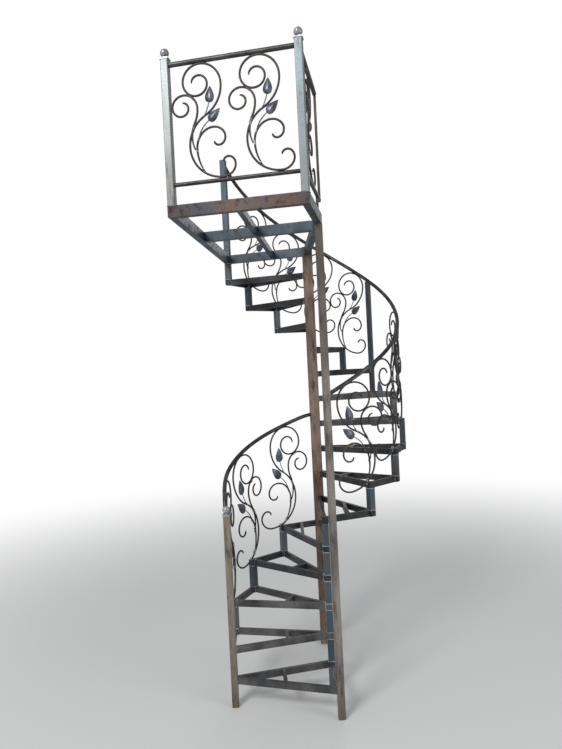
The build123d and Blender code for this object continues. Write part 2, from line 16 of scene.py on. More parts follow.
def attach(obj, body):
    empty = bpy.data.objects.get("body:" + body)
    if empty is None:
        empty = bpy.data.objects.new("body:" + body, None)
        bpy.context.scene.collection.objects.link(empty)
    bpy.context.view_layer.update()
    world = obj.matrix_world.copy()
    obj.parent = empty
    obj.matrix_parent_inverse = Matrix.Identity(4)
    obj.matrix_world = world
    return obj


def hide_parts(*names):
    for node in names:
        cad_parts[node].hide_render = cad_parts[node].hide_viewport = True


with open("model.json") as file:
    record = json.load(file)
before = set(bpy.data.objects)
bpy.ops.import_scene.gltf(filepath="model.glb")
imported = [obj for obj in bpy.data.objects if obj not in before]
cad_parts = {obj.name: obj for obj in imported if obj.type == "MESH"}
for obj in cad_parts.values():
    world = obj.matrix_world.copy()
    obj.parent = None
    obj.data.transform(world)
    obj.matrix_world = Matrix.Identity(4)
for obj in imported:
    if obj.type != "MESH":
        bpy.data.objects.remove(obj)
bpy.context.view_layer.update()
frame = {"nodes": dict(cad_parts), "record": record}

# %% [markdown]
# The photo was taken by hand, so the camera leans a little to the right and looks slightly
# down. The three directions of the camera are worked out from those two angles, and the lens
# comes from the same measurement that gave the plan of the stair.

# %% Camera at the photo's place
CAMERA_PLACE = Vector((-0.2314, -4.5257, 2.0254))
CAMERA_PITCH = math.radians(-0.7148)
CAMERA_ROLL = math.radians(-2.816)
CAMERA_LENS = 29.91

look = Vector((0, math.cos(CAMERA_PITCH), math.sin(CAMERA_PITCH)))
level_up = Vector((0, -math.sin(CAMERA_PITCH), math.cos(CAMERA_PITCH)))
level_right = Vector((1, 0, 0))
camera_right = math.cos(CAMERA_ROLL) * level_right + math.sin(CAMERA_ROLL) * level_up
camera_up = math.cos(CAMERA_ROLL) * level_up - math.sin(CAMERA_ROLL) * level_right

camera_data = bpy.data.cameras.new("camera")
camera_data.sensor_fit = "VERTICAL"
camera_data.sensor_height = 36
camera_data.lens = CAMERA_LENS
camera = bpy.data.objects.new("camera", camera_data)
axes = Matrix((camera_right, camera_up, -look)).transposed()
camera.matrix_world = Matrix.Translation(CAMERA_PLACE) @ axes.to_4x4()
bpy.context.scene.collection.objects.link(camera)
bpy.context.scene.camera = camera
print("camera at", tuple(round(v, 3) for v in CAMERA_PLACE), "lens", CAMERA_LENS)

# %% [markdown]
# Every steel part here has the same three things on it: patches where the skin left by the
# rolling mill changes colour, rust that grows in spots and runs, and fine grain. They are one
# shader group with named inputs, so each material only says which colours and how much.

# %% Shared weathered steel group
PATCH_DETAIL, PATCH_ROUGHNESS = 4, 0.6
PATCH_EDGE = (0.42, 0.62)
GRAIN_SCALE, GRAIN_DETAIL, GRAIN_STRENGTH = 160, 3, 0.55
SPOT_SCALE, SPOT_DETAIL, SPOT_ROUGHNESS = 26, 6, 0.7
RUST_START, RUST_REACH = 0.82, 0.5
RUST_EDGE = (-0.05, 0.12)
SHADE_SCALE, SHADE_DETAIL = 2.3, 2
SHADE_FROM, SHADE_TO = (0.35, 0.65), (0.72, 1.25)
RUST_ROUGHNESS = 0.85
BARE_METAL, RUSTED_METAL = 0.35, 0.05
RUST_THICKNESS = 0.5


def group_socket(tree, name, kind, way, value=None):
    socket = tree.interface.new_socket(name=name, in_out=way, socket_type=kind)
    if value is not None:
        socket.default_value = value
    return socket


def set_range(node, side, limits):
    node.inputs[side + " Min"].default_value = limits[0]
    node.inputs[side + " Max"].default_value = limits[1]


def make_weathered_group():
    tree = bpy.data.node_groups.new("weathered_steel", "ShaderNodeTree")
    group_socket(tree, "Skin", "NodeSocketColor", "INPUT", (0.2, 0.2, 0.22, 1))
    group_socket(tree, "Patch", "NodeSocketColor", "INPUT", (0.3, 0.3, 0.32, 1))
    group_socket(tree, "Rust", "NodeSocketColor", "INPUT", (0.22, 0.1, 0.05, 1))
    group_socket(tree, "Patch Amount", "NodeSocketFloat", "INPUT", 0.5)
    group_socket(tree, "Rust Amount", "NodeSocketFloat", "INPUT", 0.3)
    group_socket(tree, "Patch Size", "NodeSocketFloat", "INPUT", 9.0)
    group_socket(tree, "Run", "NodeSocketVector", "INPUT", (1, 1, 0.25))
    group_socket(tree, "Smooth Roughness", "NodeSocketFloat", "INPUT", 0.42)
    group_socket(tree, "Color", "NodeSocketColor", "OUTPUT")
    group_socket(tree, "Roughness", "NodeSocketFloat", "OUTPUT")
    group_socket(tree, "Metallic", "NodeSocketFloat", "OUTPUT")
    group_socket(tree, "Height", "NodeSocketFloat", "OUTPUT")
    nodes, links = tree.nodes, tree.links
    given = nodes.new("NodeGroupInput")
    out = nodes.new("NodeGroupOutput")
    place = nodes.new("ShaderNodeTexCoord")
    stretch = nodes.new("ShaderNodeVectorMath")
    stretch.operation = "MULTIPLY"
    links.new(place.outputs["Object"], stretch.inputs[0])
    links.new(given.outputs["Run"], stretch.inputs[1])

    patches = nodes.new("ShaderNodeTexNoise")
    patches.inputs["Detail"].default_value = PATCH_DETAIL
    patches.inputs["Roughness"].default_value = PATCH_ROUGHNESS
    links.new(stretch.outputs[0], patches.inputs["Vector"])
    links.new(given.outputs["Patch Size"], patches.inputs["Scale"])
    patch_mask = nodes.new("ShaderNodeMapRange")
    set_range(patch_mask, "From", PATCH_EDGE)
    links.new(patches.outputs["Fac"], patch_mask.inputs["Value"])
    patch_share = nodes.new("ShaderNodeMath")
    patch_share.operation = "MULTIPLY"
    links.new(patch_mask.outputs["Result"], patch_share.inputs[0])
    links.new(given.outputs["Patch Amount"], patch_share.inputs[1])
    skin = nodes.new("ShaderNodeMix")
    skin.data_type = "RGBA"
    links.new(patch_share.outputs[0], skin.inputs["Factor"])
    links.new(given.outputs["Skin"], skin.inputs["A"])
    links.new(given.outputs["Patch"], skin.inputs["B"])

    grain = nodes.new("ShaderNodeTexNoise")
    grain.inputs["Scale"].default_value = GRAIN_SCALE
    grain.inputs["Detail"].default_value = GRAIN_DETAIL
    links.new(place.outputs["Object"], grain.inputs["Vector"])
    spots = nodes.new("ShaderNodeTexNoise")
    spots.inputs["Scale"].default_value = SPOT_SCALE
    spots.inputs["Detail"].default_value = SPOT_DETAIL
    spots.inputs["Roughness"].default_value = SPOT_ROUGHNESS
    links.new(stretch.outputs[0], spots.inputs["Vector"])
    edge = nodes.new("ShaderNodeMath")
    edge.operation = "SUBTRACT"
    edge.inputs[0].default_value = RUST_START
    reach = nodes.new("ShaderNodeMath")
    reach.operation = "MULTIPLY"
    reach.inputs[1].default_value = RUST_REACH
    links.new(given.outputs["Rust Amount"], reach.inputs[0])
    links.new(reach.outputs[0], edge.inputs[1])
    above = nodes.new("ShaderNodeMath")
    above.operation = "SUBTRACT"
    links.new(spots.outputs["Fac"], above.inputs[0])
    links.new(edge.outputs[0], above.inputs[1])
    rust_mask = nodes.new("ShaderNodeMapRange")
    set_range(rust_mask, "From", RUST_EDGE)
    links.new(above.outputs[0], rust_mask.inputs["Value"])
    rusty = nodes.new("ShaderNodeMix")
    rusty.data_type = "RGBA"
    links.new(rust_mask.outputs["Result"], rusty.inputs["Factor"])
    links.new(skin.outputs["Result"], rusty.inputs["A"])
    links.new(given.outputs["Rust"], rusty.inputs["B"])
    speckle = nodes.new("ShaderNodeMix")
    speckle.data_type = "RGBA"
    speckle.blend_type = "SOFT_LIGHT"
    speckle.inputs["Factor"].default_value = GRAIN_STRENGTH
    links.new(rusty.outputs["Result"], speckle.inputs["A"])
    links.new(grain.outputs["Color"], speckle.inputs["B"])
    slow = nodes.new("ShaderNodeTexNoise")
    slow.inputs["Scale"].default_value = SHADE_SCALE
    slow.inputs["Detail"].default_value = SHADE_DETAIL
    links.new(place.outputs["Object"], slow.inputs["Vector"])
    shade = nodes.new("ShaderNodeMapRange")
    set_range(shade, "From", SHADE_FROM)
    set_range(shade, "To", SHADE_TO)
    links.new(slow.outputs["Fac"], shade.inputs["Value"])
    shaded = nodes.new("ShaderNodeVectorMath")
    shaded.operation = "SCALE"
    links.new(speckle.outputs["Result"], shaded.inputs[0])
    links.new(shade.outputs["Result"], shaded.inputs["Scale"])
    links.new(shaded.outputs[0], out.inputs["Color"])

    rough = nodes.new("ShaderNodeMix")
    rough.data_type = "FLOAT"
    rough.inputs["B"].default_value = RUST_ROUGHNESS
    links.new(rust_mask.outputs["Result"], rough.inputs["Factor"])
    links.new(given.outputs["Smooth Roughness"], rough.inputs["A"])
    links.new(rough.outputs["Result"], out.inputs["Roughness"])
    bare = nodes.new("ShaderNodeMapRange")
    set_range(bare, "To", (BARE_METAL, RUSTED_METAL))
    links.new(rust_mask.outputs["Result"], bare.inputs["Value"])
    links.new(bare.outputs["Result"], out.inputs["Metallic"])
    rise = nodes.new("ShaderNodeMath")
    rise.operation = "MULTIPLY_ADD"
    rise.inputs[1].default_value = RUST_THICKNESS
    links.new(rust_mask.outputs["Result"], rise.inputs[0])
    links.new(grain.outputs["Fac"], rise.inputs[2])
    links.new(rise.outputs[0], out.inputs["Height"])
    return tree


weathered = make_weathered_group()
inputs_of_group = [item.name for item in weathered.interface.items_tree if item.in_out == "INPUT"]
print("group inputs:", inputs_of_group)

# %% Material that uses the group
BUMP_STRENGTH, BUMP_DISTANCE = 0.25, 0.0008


def steel(name, skin, patch, rust, patch_amount, rust_amount, patch_size, run, smooth):
    material = bpy.data.materials.new(name)
    material.use_nodes = True
    nodes, links = material.node_tree.nodes, material.node_tree.links
    surface = nodes["Principled BSDF"]
    look_of = nodes.new("ShaderNodeGroup")
    look_of.node_tree = weathered
    look_of.inputs["Skin"].default_value = (*skin, 1)
    look_of.inputs["Patch"].default_value = (*patch, 1)
    look_of.inputs["Rust"].default_value = (*rust, 1)
    look_of.inputs["Patch Amount"].default_value = patch_amount
    look_of.inputs["Rust Amount"].default_value = rust_amount
    look_of.inputs["Patch Size"].default_value = patch_size
    look_of.inputs["Run"].default_value = run
    look_of.inputs["Smooth Roughness"].default_value = smooth
    bump = nodes.new("ShaderNodeBump")
    bump.inputs["Strength"].default_value = BUMP_STRENGTH
    bump.inputs["Distance"].default_value = BUMP_DISTANCE
    links.new(look_of.outputs["Color"], surface.inputs["Base Color"])
    links.new(look_of.outputs["Roughness"], surface.inputs["Roughness"])
    links.new(look_of.outputs["Metallic"], surface.inputs["Metallic"])
    links.new(look_of.outputs["Height"], bump.inputs["Height"])
    links.new(bump.outputs["Normal"], surface.inputs["Normal"])
    return material


# %% Finish of each slot
# Patches and rust run down an upright tube, and spread evenly over all other pieces.
UPRIGHT = (1, 1, 0.22)
EVEN = (1, 1, 1)
finish = {
    "column": steel(
        "column_rust", (0.165, 0.108, 0.078), (0.32, 0.240, 0.175), (0.070, 0.040, 0.028),
        patch_amount=0.8, rust_amount=0.58, patch_size=6, run=UPRIGHT, smooth=0.55,
    ),
    "front_post": steel(
        "front_post_steel", (0.150, 0.132, 0.120), (0.265, 0.240, 0.215), (0.058, 0.042, 0.036),
        patch_amount=0.9, rust_amount=0.52, patch_size=6, run=UPRIGHT, smooth=0.45,
    ),
    "newel_steel": steel(
        "newel_steel", (0.165, 0.212, 0.240), (0.26, 0.262, 0.240), (0.150, 0.112, 0.080),
        patch_amount=0.8, rust_amount=0.4, patch_size=4, run=UPRIGHT, smooth=0.42,
    ),
    "post_steel": steel(
        "riser_post_steel", (0.060, 0.092, 0.115), (0.13, 0.12, 0.12), (0.110, 0.062, 0.046),
        patch_amount=0.8, rust_amount=0.5, patch_size=8, run=UPRIGHT, smooth=0.45,
    ),
    "tread_steel": steel(
        "tread_scale", (0.020, 0.023, 0.028), (0.060, 0.062, 0.068), (0.070, 0.045, 0.033),
        patch_amount=0.8, rust_amount=0.45, patch_size=7, run=EVEN, smooth=0.42,
    ),
    "beam_steel": steel(
        "beam_scale", (0.034, 0.056, 0.080), (0.085, 0.108, 0.130), (0.070, 0.042, 0.030),
        patch_amount=0.9, rust_amount=0.48, patch_size=5, run=EVEN, smooth=0.42,
    ),
    "beam_rust": steel(
        "beam_rust", (0.040, 0.046, 0.060), (0.088, 0.052, 0.036), (0.052, 0.030, 0.022),
        patch_amount=0.95, rust_amount=0.5, patch_size=3, run=EVEN, smooth=0.45,
    ),
    "rail_steel": steel(
        "rail_steel", (0.030, 0.028, 0.028), (0.085, 0.080, 0.078), (0.060, 0.038, 0.030),
        patch_amount=0.8, rust_amount=0.3, patch_size=12, run=EVEN, smooth=0.36,
    ),
    "scroll_iron": steel(
        "scroll_iron", (0.036, 0.028, 0.024), (0.070, 0.058, 0.050), (0.080, 0.045, 0.030),
        patch_amount=0.8, rust_amount=0.42, patch_size=14, run=EVEN, smooth=0.45,
    ),
}
start_newel = steel(
    "start_newel_steel", (0.150, 0.125, 0.095), (0.245, 0.215, 0.170), (0.050, 0.034, 0.026),
    patch_amount=0.9, rust_amount=0.5, patch_size=7, run=UPRIGHT, smooth=0.42,
)
worn_tread = steel(
    "tread_scale_worn", (0.055, 0.060, 0.068), (0.150, 0.142, 0.135), (0.095, 0.066, 0.050),
    patch_amount=0.9, rust_amount=0.45, patch_size=6, run=EVEN, smooth=0.42,
)
leaf_finish = steel(
    "leaf_steel", (0.055, 0.066, 0.082), (0.150, 0.170, 0.195), (0.060, 0.048, 0.046),
    patch_amount=0.9, rust_amount=0.35, patch_size=22, run=EVEN, smooth=0.32,
)
bright_finish = steel(
    "bright_steel", (0.20, 0.22, 0.23), (0.36, 0.38, 0.39), (0.13, 0.10, 0.08),
    patch_amount=0.9, rust_amount=0.3, patch_size=30, run=EVEN, smooth=0.28,
)
weld_finish = steel(
    "weld_metal", (0.30, 0.31, 0.33), (0.52, 0.53, 0.55), (0.12, 0.09, 0.07),
    patch_amount=0.9, rust_amount=0.3, patch_size=60, run=EVEN, smooth=0.36,
)

# %% Give every measured piece its finish
# A few treads are walked on more than the rest, and the starting newel is browner.
finish["ball_steel"] = bright_finish
WORN_TREADS = ("tread_01", "tread_02", "tread_03", "tread_09", "tread_10")
own_finish = dict.fromkeys(WORN_TREADS, worn_tread)
own_finish["lower_newel"] = start_newel
slot_of = {entry["node"]: entry["material_slot"] for entry in frame["record"]["subparts"]}
for name, piece in frame["nodes"].items():
    for slot in piece.material_slots:
        slot.material = own_finish.get(name, finish[slot_of[name]])
print("materials:", len(bpy.data.materials))

# %% [markdown]
# The scrolls are round bar, bent cold into curls that get tighter towards their ends. A curl
# follows one simple rule: the radius shrinks by the same share on every quarter turn. The
# helper below walks along such a curl in small steps and keeps the points.

# %% Helper that walks along a curl
STEP_DEGREES = 6.0
UP, DOWN, FORWARD = 90, -90, 0


def walk(start, heading, radius, degrees, shrink=1.0):
    side = 1 if degrees > 0 else -1
    steps = max(2, round(abs(degrees) / STEP_DEGREES))
    turn = math.radians(abs(degrees) / steps)
    place = Vector((start[0], start[1]))
    angle = math.radians(heading)
    points = [place.copy()]
    for step in range(steps):
        turned = (step + 0.5) * math.degrees(turn)
        here = radius * shrink ** (turned / 90 - 0.5) if shrink < 1 else radius
        angle += side * turn / 2
        chord = 2 * here * math.sin(turn / 2)
        place = place + Vector((math.cos(angle), math.sin(angle))) * chord
        angle += side * turn / 2
        points.append(place.copy())
    return points, math.degrees(angle)


# %% The lines of one scroll, flat, at the landing's size in metres
WAIST = (0.088, 0.205)
HEAD_SIDE = (0.277, 0.522)
HEAD_RADIUS = 0.119
HEAD_SHRINK = 0.8
HEAD_TURN = 540
BELLY_RADIUS = 0.180
BELLY_TURN = 90
TAIL_RADIUS = 0.066
TAIL_SHRINK = 0.62
TAIL_TURN = 270
LEFT_CURL_SIDE = (0.141, 0.403)
LEFT_CURL_RADIUS = 0.079
LEFT_CURL_SHRINK = 0.8
LEFT_CURL_TURN = 450
LEFT_STEM_RADIUS = 0.163
LEFT_STEM_TURN = 27.5
LEFT_END_TURN = 25
RIGHT_CURL_SIDE = (0.127, 0.191)
RIGHT_CURL_RADIUS = 0.100
RIGHT_CURL_SHRINK = 0.62
RIGHT_CURL_TURN = 360
RIGHT_STEM_RADIUS = 0.233
RIGHT_STEM_TURN = 34


def scroll_lines():
    run = HEAD_SIDE[0] - WAIST[0]
    rise = HEAD_SIDE[1] - WAIST[1]
    swing = math.degrees(2 * math.atan2(run, rise))
    bend = rise / (2 * math.sin(math.radians(swing)))
    upper, way = walk(WAIST, UP, bend, -swing)
    middle, way = walk(upper[-1], way, bend, swing)
    head, way = walk(middle[-1], UP, HEAD_RADIUS, HEAD_TURN, HEAD_SHRINK)
    belly, way = walk(WAIST, DOWN, BELLY_RADIUS, BELLY_TURN)
    tail, way = walk(belly[-1], FORWARD, TAIL_RADIUS, TAIL_TURN, TAIL_SHRINK)
    main = list(reversed(tail)) + list(reversed(belly))[1:] + upper[1:] + middle[1:] + head[1:]
    left_bend, way = walk(LEFT_CURL_SIDE, DOWN, LEFT_STEM_RADIUS, -LEFT_STEM_TURN)
    left_back, way = walk(left_bend[-1], way, LEFT_STEM_RADIUS, LEFT_STEM_TURN)
    left_end, way = walk(left_back[-1], way, LEFT_STEM_RADIUS, LEFT_END_TURN)
    left_stem = left_bend + left_back[1:] + left_end[1:]
    left_curl, way = walk(LEFT_CURL_SIDE, UP, LEFT_CURL_RADIUS, LEFT_CURL_TURN, LEFT_CURL_SHRINK)
    left = list(reversed(left_stem)) + left_curl[1:]
    right_stem, way = walk(RIGHT_CURL_SIDE, DOWN, RIGHT_STEM_RADIUS, RIGHT_STEM_TURN)
    right_curl, way = walk(
        RIGHT_CURL_SIDE, UP, RIGHT_CURL_RADIUS, -RIGHT_CURL_TURN, RIGHT_CURL_SHRINK
    )
    right = list(reversed(right_stem)) + right_curl[1:]
    return [main, left, right]


lines = scroll_lines()
print("points in the three bars of a scroll:", [len(line) for line in lines])

# %% [markdown]
# A bar is a circle swept along its line, a little thinner at both ends where the smith drew it
# out. Geometry Nodes do the sweep: the line carries a radius at each point, and the tree gives
# every bar the same round section. The leaves are a separate small mesh, because a leaf is
# not a bar: it is a bud of sheet steel, folded and closed to a point.

# %% Geometry Nodes tree that sweeps a round bar
BAR_SIDES = 12
END_SHARE, END_POINTS = 0.6, 5


def modifier_input(modifier, tree, name, value):
    for item in tree.interface.items_tree:
        if item.item_type == "SOCKET" and item.in_out == "INPUT" and item.name == name:
            modifier[item.identifier] = value


def make_bar_tree():
    tree = bpy.data.node_groups.new("round_bar", "GeometryNodeTree")
    group_socket(tree, "Geometry", "NodeSocketGeometry", "INPUT")
    group_socket(tree, "Bar Diameter", "NodeSocketFloat", "INPUT", 0.011)
    group_socket(tree, "Sides", "NodeSocketInt", "INPUT", BAR_SIDES)
    group_socket(tree, "Finish", "NodeSocketMaterial", "INPUT")
    group_socket(tree, "Geometry", "NodeSocketGeometry", "OUTPUT")
    nodes, links = tree.nodes, tree.links
    given = nodes.new("NodeGroupInput")
    out = nodes.new("NodeGroupOutput")
    half = nodes.new("ShaderNodeMath")
    half.operation = "MULTIPLY"
    half.inputs[1].default_value = 0.5
    section = nodes.new("GeometryNodeCurvePrimitiveCircle")
    sweep = nodes.new("GeometryNodeCurveToMesh")
    sweep.inputs["Fill Caps"].default_value = True
    radius = nodes.new("GeometryNodeInputRadius")
    smooth = nodes.new("GeometryNodeSetShadeSmooth")
    realize = nodes.new("GeometryNodeRealizeInstances")
    paint = nodes.new("GeometryNodeSetMaterial")
    links.new(given.outputs["Bar Diameter"], half.inputs[0])
    links.new(half.outputs[0], section.inputs["Radius"])
    links.new(given.outputs["Sides"], section.inputs["Resolution"])
    links.new(given.outputs["Geometry"], sweep.inputs["Curve"])
    links.new(section.outputs["Curve"], sweep.inputs["Profile Curve"])
    links.new(radius.outputs[0], sweep.inputs["Scale"])
    links.new(sweep.outputs["Mesh"], smooth.inputs["Geometry"])
    links.new(smooth.outputs["Geometry"], realize.inputs["Geometry"])
    links.new(realize.outputs["Geometry"], paint.inputs["Geometry"])
    links.new(given.outputs["Finish"], paint.inputs["Material"])
    links.new(paint.outputs["Geometry"], out.inputs["Geometry"])
    return tree


bar_tree = make_bar_tree()


def bars_as_mesh(name, bar_lines, diameter, material, end_share=END_SHARE):
    curve = bpy.data.curves.new(name, "CURVE")
    curve.dimensions = "3D"
    for line in bar_lines:
        spline = curve.splines.new("POLY")
        spline.points.add(len(line) - 1)
        for index, point in enumerate(line):
            from_end = min(index, len(line) - 1 - index)
            taper = min(1.0, end_share + (1 - end_share) * from_end / END_POINTS)
            spline.points[index].co = (*point, 1)
            spline.points[index].radius = taper
    holder = bpy.data.objects.new(name, curve)
    bpy.context.scene.collection.objects.link(holder)
    sweep = holder.modifiers.new("sweep", "NODES")
    sweep.node_group = bar_tree
    modifier_input(sweep, bar_tree, "Bar Diameter", diameter)
    modifier_input(sweep, bar_tree, "Finish", material)
    bpy.context.view_layer.update()
    seen = holder.evaluated_get(bpy.context.evaluated_depsgraph_get())
    mesh = bpy.data.meshes.new_from_object(seen)
    mesh.name = name
    bpy.data.objects.remove(holder)
    return mesh


# %% A leaf bud as a small closed mesh
LEAF_LENGTH = 0.090
LEAF_WIDTH = 0.052
LEAF_DEPTH = 0.020
LEAF_RINGS = 14
LEAF_SIDES = 16
LEAF_BELLY = 0.62
LEAF_FULLNESS = 0.85
LEAF_BOW = 0.010
FOLD_DEPTH, FOLDS, FOLD_TWIST = 0.16, 3, 2.2


def leaf_points():
    rings = []
    for ring in range(LEAF_RINGS + 1):
        share = ring / LEAF_RINGS
        swell = math.sin(math.pi * share ** LEAF_BELLY) ** LEAF_FULLNESS if 0 < share < 1 else 0.0
        half_width = LEAF_WIDTH / 2 * swell
        half_depth = LEAF_DEPTH / 2 * swell
        bow = LEAF_BOW * share * share
        row = []
        for side in range(LEAF_SIDES):
            angle = 2 * math.pi * side / LEAF_SIDES
            fold = 1 + FOLD_DEPTH * math.cos(FOLDS * angle + FOLD_TWIST * share)
            row.append(Vector((
                LEAF_LENGTH * share,
                half_width * math.cos(angle) + bow,
                half_depth * fold * math.sin(angle),
            )))
        rings.append(row)
    return rings


def add_leaf(builder, root, heading, size, slot):
    spin = Matrix.Rotation(math.radians(heading), 3, "Z")
    rings = []
    for ring, row in enumerate(leaf_points()):
        if ring in (0, LEAF_RINGS):
            rings.append([builder.verts.new(spin @ (row[0] * size) + root)])
        else:
            rings.append([builder.verts.new(spin @ (point * size) + root) for point in row])
    for below, above in zip(rings, rings[1:]):
        for side in range(LEAF_SIDES):
            following = (side + 1) % LEAF_SIDES
            if len(below) == 1:
                face = builder.faces.new((below[0], above[following], above[side]))
            elif len(above) == 1:
                face = builder.faces.new((below[side], below[following], above[0]))
            else:
                corners = (below[side], below[following], above[following], above[side])
                face = builder.faces.new(corners)
            face.material_index = slot
            face.smooth = True


# %% One whole scroll: three bars, two leaf stems and two leaves
BAR_DIAMETER = 0.0115
STEM_DIAMETER = 0.008
BAR_OFFSET = 0.0035
SCROLL_WIDTH = 0.345
# Each leaf has the place of its root, its heading, and the radius and turn of its stem.
LEAVES = (((0.205, 0.428), 77, 0.190, -23.4), ((0.199, 0.332), 36, 0.158, 40.8))
LEAF_ROOT = 0.006
# Short weld lines, start and end, where two bars or a bar and a stem touch.
DABS = (
    ((0.1170, 0.3070), (0.1085, 0.2830)),
    ((0.1290, 0.1760), (0.1260, 0.1920)),
    ((0.1570, 0.0760), (0.1640, 0.0640)),
    ((0.1870, 0.3740), (0.1760, 0.3610)),
    ((0.1420, 0.2470), (0.1375, 0.2370)),
    ((0.1000, 0.4740), (0.1080, 0.4680)),
)


def stem_line(root, heading, radius, turn):
    bend, way = walk(root, heading + 180, radius, turn)
    way = Vector((math.cos(math.radians(heading)), math.sin(math.radians(heading))))
    return [Vector((*point, 0)) for point in [Vector(root) + way * LEAF_ROOT] + bend]


def flat_scroll(name, size):
    thick = BAR_DIAMETER / size
    bars = [[Vector((p.x, p.y, 0)) for p in line] for line in lines]
    bars[1] = [point + Vector((0, 0, BAR_OFFSET)) for point in bars[1]]
    bars[2] = [point - Vector((0, 0, BAR_OFFSET)) for point in bars[2]]
    mesh = bars_as_mesh(name, bars, thick, finish["scroll_iron"])
    stem_lines = [stem_line(*leaf) for leaf in LEAVES]
    stems = bars_as_mesh(name + "_stems", stem_lines, STEM_DIAMETER / size, leaf_finish)
    builder = bmesh.new()
    builder.from_mesh(mesh)
    first = len(builder.faces)
    builder.from_mesh(stems)
    builder.faces.ensure_lookup_table()
    for face in builder.faces[first:]:
        face.material_index = 1
    for root, heading, radius, turn in LEAVES:
        add_leaf(builder, Vector((*root, 0)), heading, 1.0, 1)
    bmesh.ops.recalc_face_normals(builder, faces=builder.faces[:])
    mesh.materials.clear()
    mesh.materials.append(finish["scroll_iron"])
    mesh.materials.append(leaf_finish)
    builder.to_mesh(mesh)
    builder.free()
    bpy.data.meshes.remove(stems)
    return mesh


# %% [markdown]
# Each scroll stands upright on the corner of its tread and touches the handrail above it. Its
# plane runs along the flight's round edge, turned a little inward to stay under the rail. Most
# scrolls lean downhill, and the size follows from the reach between the tread and the rail.

# %% Plan of the stair, in metres
RISE = 0.180
CORE = Vector((-0.003, -0.663))
COLUMN = Vector((0, 0))
LOWER_RADIUS, LOWER_START, LOWER_STEP = 0.614, 193.7, -25.94
UPPER_RADIUS, UPPER_START, UPPER_STEP = 0.620, -60.5, 24.77
FRONT_LEFT = Vector((-0.750, -1.298))
FRONT_RIGHT = Vector((-0.065, -1.445))
FRONT_POST = Vector((0.021, -0.992))
LANDING_RISES = 16
LANDING_TOP = LANDING_RISES * RISE
RAIL_POST_CORNER = 4
RAIL_DIAMETER = 0.026
BESIDE_CORNER = 0.022
TURN_INWARD = 8
HEAD_WELD = 0.003
SQUARE_BAR = 0.011
DAB_SIDE = 0.0052
SCROLL_TOP = HEAD_SIDE[1] + HEAD_RADIUS + SQUARE_BAR / 2
SCROLL_LOW = WAIST[1] - BELLY_RADIUS - SQUARE_BAR / 2

# %% Height of the handrails, in millimetres over degrees
LOWER_END_ANGLE, LOWER_END, LOWER_SLOPE, LOWER_SAG = 96.5, 1664, 3.52, 0.0094
KNEE_ANGLE, KNEE, EASY_SLOPE, STEEP_SLOPE = -32, 2148, 5.9, 7.4
MILLIMETRES = 1000


def polar(centre, radius, angle):
    turn = math.radians(angle)
    return centre + radius * Vector((math.cos(turn), math.sin(turn)))


def lower_rail_height(angle):
    back = angle - LOWER_END_ANGLE
    return (LOWER_END - LOWER_SLOPE * back - LOWER_SAG * back * back) / MILLIMETRES


def upper_rail_height(angle):
    past = angle - KNEE_ANGLE
    return (KNEE + (STEEP_SLOPE if past > 0 else EASY_SLOPE) * past) / MILLIMETRES


def turned(point, lean):
    flat, tip = math.cos(math.radians(lean)), math.sin(math.radians(lean))
    return Vector((point[0] * flat + point[1] * tip, point[1] * flat - point[0] * tip))


scroll_seams = []


def place_scroll(name, middle, along, foot, lean, size, hold):
    mesh = flat_scroll(name, size)
    across = Vector((math.cos(math.radians(along)), math.sin(math.radians(along)), 0))
    normal = Vector((math.sin(math.radians(along)), -math.cos(math.radians(along)), 0))
    start = Vector((middle.x, middle.y, foot))

    def placed(point):
        flat = turned((point[0] - hold[0], point[1] - hold[1]), lean)
        return start + size * (across * flat.x + Vector((0, 0, 1)) * flat.y + normal * point[2])

    for vertex in mesh.vertices:
        vertex.co = placed(vertex.co)
    for begin, end in DABS:
        for side in (DAB_SIDE, -DAB_SIDE):
            scroll_seams.append([placed((*begin, side)), placed((*end, side))])
    piece = bpy.data.objects.new(name, mesh)
    bpy.context.scene.collection.objects.link(piece)
    return piece


# %% How big a scroll is, so that its head meets the rail
def scroll_size(reach, slope, lean, hold):
    head = (HEAD_SIDE[0] - HEAD_RADIUS - hold[0], HEAD_SIDE[1] - hold[1])
    ahead, above = turned(head, lean)
    steep = math.hypot(1, slope)
    clear = SQUARE_BAR / 2 + RAIL_DIAMETER / 2 - HEAD_WELD
    per_size = slope * ahead + above + HEAD_RADIUS * steep
    return (reach - slope * BESIDE_CORNER - clear * steep) / per_size


# %% Scrolls of both flights
LOWER_HOLD, LOWER_LEAN, LAST_LOWER_LEAN = (0.206, 0.036), 8, -3
UPPER_HOLD, UPPER_LEAN = (0.157, 0.063), 8
FIRST_HOLD, FIRST_LEAN = (0.165, 0.058), 7
LOWER_CORNERS, UPPER_CORNERS = 4, 10
LOWER_LEVEL, UPPER_LEVEL = 2, 7
made = []
scroll_feet = []


def stair_scroll(name, centre, radius, angle, downhill, level, rail_height, drop, lean, hold):
    foot = level * RISE
    size = scroll_size(rail_height - foot, math.degrees(drop / radius) / MILLIMETRES, lean, hold)
    along = angle + (90 + TURN_INWARD) * downhill
    middle = polar(polar(centre, radius, angle), BESIDE_CORNER, along)
    piece = place_scroll(name + "_bars", middle, along, foot, lean, size, hold)
    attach(piece, "root")
    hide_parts(name)
    made.append((name, round(size, 3)))
    scroll_feet.append(Vector((middle.x, middle.y, foot)))


